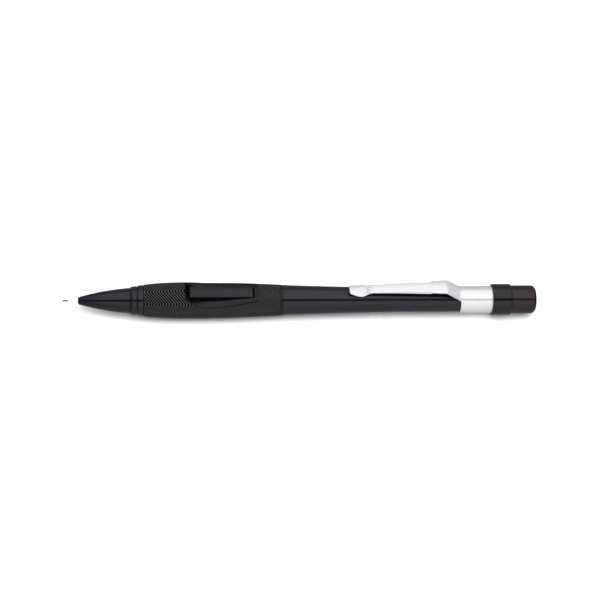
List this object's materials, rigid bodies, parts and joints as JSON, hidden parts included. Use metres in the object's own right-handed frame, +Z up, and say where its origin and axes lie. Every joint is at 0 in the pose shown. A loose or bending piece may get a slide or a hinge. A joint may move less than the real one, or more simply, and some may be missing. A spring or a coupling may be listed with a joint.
{
  "type": "mechanical pencil",
  "caption": "Side-button mechanical pencil with a ribbed rubber grip, bullet nose, bright spring clip and band, dark collar and eraser cap.",
  "frame": {"origin": "middle of the pencil's length, under its axis, on the plane that the widest part of the grip rests on", "axes": "+X along the pencil from the lead's tip to the cap, +Z up through the side button and the clip, +Y across"},
  "size_m": [0.148, 0.0112, 0.0125],
  "materials": {
    "graphite": "satin graphite",
    "sleeve_steel": "bright drawn tube",
    "retainer_rubber": "matte",
    "brass": "turned",
    "nose_plastic": "polished",
    "inner_plastic": "moulded, dark",
    "spring_steel": "drawn wire",
    "barrel_plastic": "polished",
    "grip_rubber": "ribbed, satin",
    "button_plastic": "satin gloss",
    "clip_metal": "bright plated",
    "collar_plastic": "polished",
    "eraser_rubber": "white, matte",
    "cap_plastic": "polished dark maroon"
  },
  "bodies": {
    "barrel_body": {"barrel": "barrel_plastic", "grip": "grip_rubber", "chuck_housing": "inner_plastic", "chuck_spring": "spring_steel", "clip_band": "clip_metal"},
    "button_body": {"side_button": "button_plastic"},
    "feed_body": {"chuck": "brass", "chuck_joint": "inner_plastic", "lead_tube": "inner_plastic", "cam_slider": "inner_plastic", "spare_leads": "graphite"},
    "ring_body": {"clutch_ring": "brass"},
    "lead_body": {"lead": "graphite"},
    "nose_body": {"nose_cone": "nose_plastic"},
    "sleeve_body": {"lead_sleeve": "sleeve_steel", "sleeve_slider": "brass", "lead_retainer": "retainer_rubber"},
    "clip_body": {"clip_arm": "clip_metal"},
    "holder_body": {"eraser_holder": "collar_plastic", "eraser": "eraser_rubber"},
    "cap_body": {"eraser_cap": "cap_plastic"}
  },
  "joints": [
    {"name": "chuck_feed", "type": "slide", "parent": "barrel_body", "child": "feed_body", "axis": [-1, 0, 0], "range_m": [0, 0.00175], "stiffness_N_per_m": 300, "deforming": ["chuck_spring"]},
    {"name": "button_press", "type": "hinge", "parent": "barrel_body", "child": "button_body", "pos_m": [-0.017, 0, 0.00755], "axis": [0, -1, 0], "range_deg": [0, 5.5]},
    {"name": "ring_feed", "type": "slide", "parent": "barrel_body", "child": "ring_body", "axis": [-1, 0, 0], "range_m": [0, 0.00055]},
    {"name": "lead_feed", "type": "slide", "parent": "ring_body", "child": "lead_body", "axis": [-1, 0, 0], "range_m": [-0.0016, 0.005]},
    {"name": "nose_off", "type": "slide", "parent": "barrel_body", "child": "nose_body", "axis": [-1, 0, 0], "range_m": [0, 0.014]},
    {"name": "sleeve_retract", "type": "slide", "parent": "nose_body", "child": "sleeve_body", "axis": [1, 0, 0], "range_m": [0, 0.0032]},
    {"name": "clip_spring", "type": "hinge", "parent": "barrel_body", "child": "clip_body", "pos_m": [0.0496, 0, 0.00955], "axis": [0, 1, 0], "range_deg": [0, 4], "stiffness_Nm_per_rad": 0.6},
    {"name": "holder_pull", "type": "slide", "parent": "barrel_body", "child": "holder_body", "axis": [1, 0, 0], "range_m": [0, 0.012]},
    {"name": "cap_pull", "type": "slide", "parent": "holder_body", "child": "cap_body", "axis": [1, 0, 0], "range_m": [0, 0.012]}
  ],
  "couplings": [
    {"joint": "button_press", "follows": "chuck_feed", "rad_per_m": 54.85},
    {"joint": "ring_feed", "follows": "chuck_feed", "ratio": 0.3142}
  ]
}
